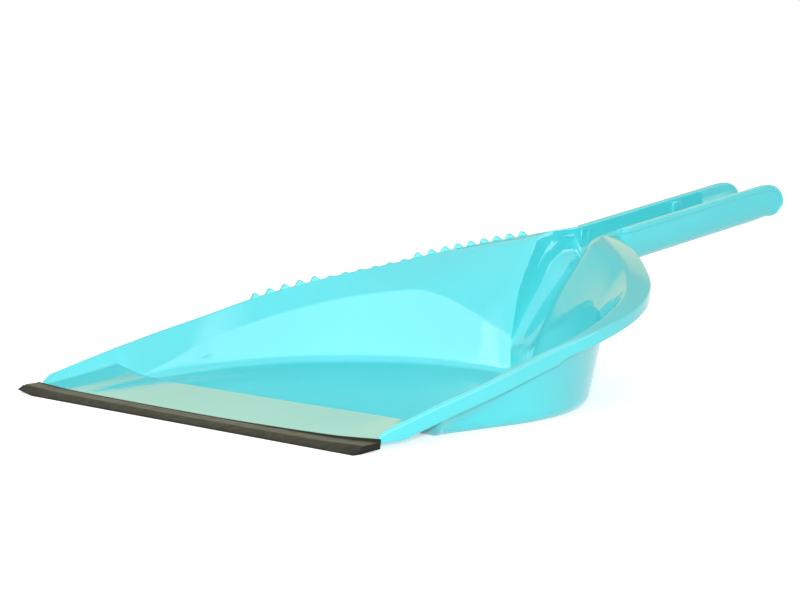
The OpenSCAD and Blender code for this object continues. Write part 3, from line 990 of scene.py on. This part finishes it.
def seen(tree):
    """1 where a surface is seen, straight, in a gloss or through glass, and 0 where it only lights others."""
    rays = tree.nodes.new("ShaderNodeLightPath").outputs
    total = None
    for name in ("Is Camera Ray", "Is Glossy Ray", "Is Transmission Ray"):
        if total is None:
            total = rays[name]
            continue
        add = tree.nodes.new("ShaderNodeMath")
        add.operation = "MAXIMUM"
        tree.links.new(total, add.inputs[0])
        tree.links.new(rays[name], add.inputs[1])
        total = add.outputs[0]
    return total


floor_paint, tree, shader = new_material("floor_paint")
shader.inputs["Base Color"].default_value = (0.9, 0.9, 0.9, 1)
shader.inputs["Roughness"].default_value = 0.9
shader.inputs["Specular IOR Level"].default_value = 0
shader.inputs["Emission Color"].default_value = (1, 1, 1, 1)
tree.links.new(remap(tree, seen(tree), 0, 1, 0, FLOOR_GLOW), shader.inputs["Emission Strength"])
floor_mesh.materials.append(floor_paint)

# The room: white low down, where the floor meets it, a warm wall behind, a window in front and a pale ceiling
world = bpy.data.worlds.new("studio")
world.use_nodes = True
bpy.context.scene.world = world
tree = world.node_tree
back = next(n for n in tree.nodes if n.type == "BACKGROUND")
toward = tree.nodes.new("ShaderNodeTexCoord").outputs["Generated"]
up = tree.nodes.new("ShaderNodeSeparateXYZ")
tree.links.new(toward, up.inputs["Vector"])


def shades(tree, height, stops):
    """Light by height in the sky, from a list of (height, colour, strength)."""
    total = None
    for (low, paint, strength), (high, paint_2, strength_2) in zip(stops, stops[1:]):
        pick = tree.nodes.new("ShaderNodeMix")
        pick.data_type = "RGBA"
        tree.links.new(remap(tree, height, low, high, 0, 1), pick.inputs["Factor"])
        if total is None:
            pick.inputs["A"].default_value = [strength * c for c in paint] + [1]
        else:
            tree.links.new(total, pick.inputs["A"])
        pick.inputs["B"].default_value = [strength_2 * c for c in paint_2] + [1]
        total = pick.outputs["Result"]
    return total


behind = shades(tree, up.outputs["Z"], [(0.02, WHITE, 1), (0.06, WARM, 1.15), (0.36, WARM, 1.15),
                                        (0.48, BEIGE, 0.7), (0.6, BEIGE, 0.7), (0.75, WHITE, CEILING)])
ahead = shades(tree, up.outputs["Z"], [(0.02, WHITE, 1), (0.04, BEIGE, 1), (0.1, WHITE, WINDOW),
                                       (0.42, WHITE, WINDOW), (0.62, WHITE, CEILING)])
side = tree.nodes.new("ShaderNodeVectorMath")
side.operation = "DOT_PRODUCT"
tree.links.new(toward, side.inputs[0])
side.inputs[1].default_value = lift(turned(WINDOW_AT), 0)
pick = tree.nodes.new("ShaderNodeMix")
pick.data_type = "RGBA"
tree.links.new(remap(tree, side.outputs["Value"], -0.1, 0.3, 0, 1), pick.inputs["Factor"])
tree.links.new(behind, pick.inputs["A"])
tree.links.new(ahead, pick.inputs["B"])
# What the room throws on the pan is dimmer and more even than what is seen in its gloss
soft = tree.nodes.new("ShaderNodeMix")
soft.data_type = "RGBA"
soft.inputs["Factor"].default_value = EVENNESS
tree.links.new(pick.outputs["Result"], soft.inputs["A"])
soft.inputs["B"].default_value = EVEN_LIGHT
room = tree.nodes.new("ShaderNodeMix")
room.data_type = "RGBA"
tree.links.new(seen(tree), room.inputs["Factor"])
tree.links.new(soft.outputs["Result"], room.inputs["A"])
tree.links.new(pick.outputs["Result"], room.inputs["B"])
tree.links.new(room.outputs["Result"], back.inputs["Color"])
tree.links.new(remap(tree, seen(tree), 0, 1, DIMMED, 1), back.inputs["Strength"])


def lamp(name, at, to, size, watts, size_y=None):
    """A flat lamp that faces a point: square, or a strip when it has a second size."""
    data = bpy.data.lights.new(name, "AREA")
    data.size = size
    if size_y:
        data.shape = "RECTANGLE"
        data.size_y = size_y
    data.energy = watts
    made = bpy.data.objects.new(name, data)
    made.location = at
    made.rotation_euler = (Vector(to) - Vector(at)).to_track_quat("-Z", "Y").to_euler()
    bpy.context.scene.collection.objects.link(made)


lamp("front_lamp", (0.82, -0.78, 0.22), (0, -0.03, 0.03), 0.04, 8)
for i in range(STRIPS):
    place = lift(STRIP_AWAY * turned(STRIP_AT - STRIP_TURN * i), STRIP_HIGH)
    lamp("strip_lamp_" + str(i), place, (0, 0, 0.03), STRIP_W, STRIP_WATTS, STRIP_LONG)

scene = bpy.context.scene
scene.view_settings.view_transform = "Standard"
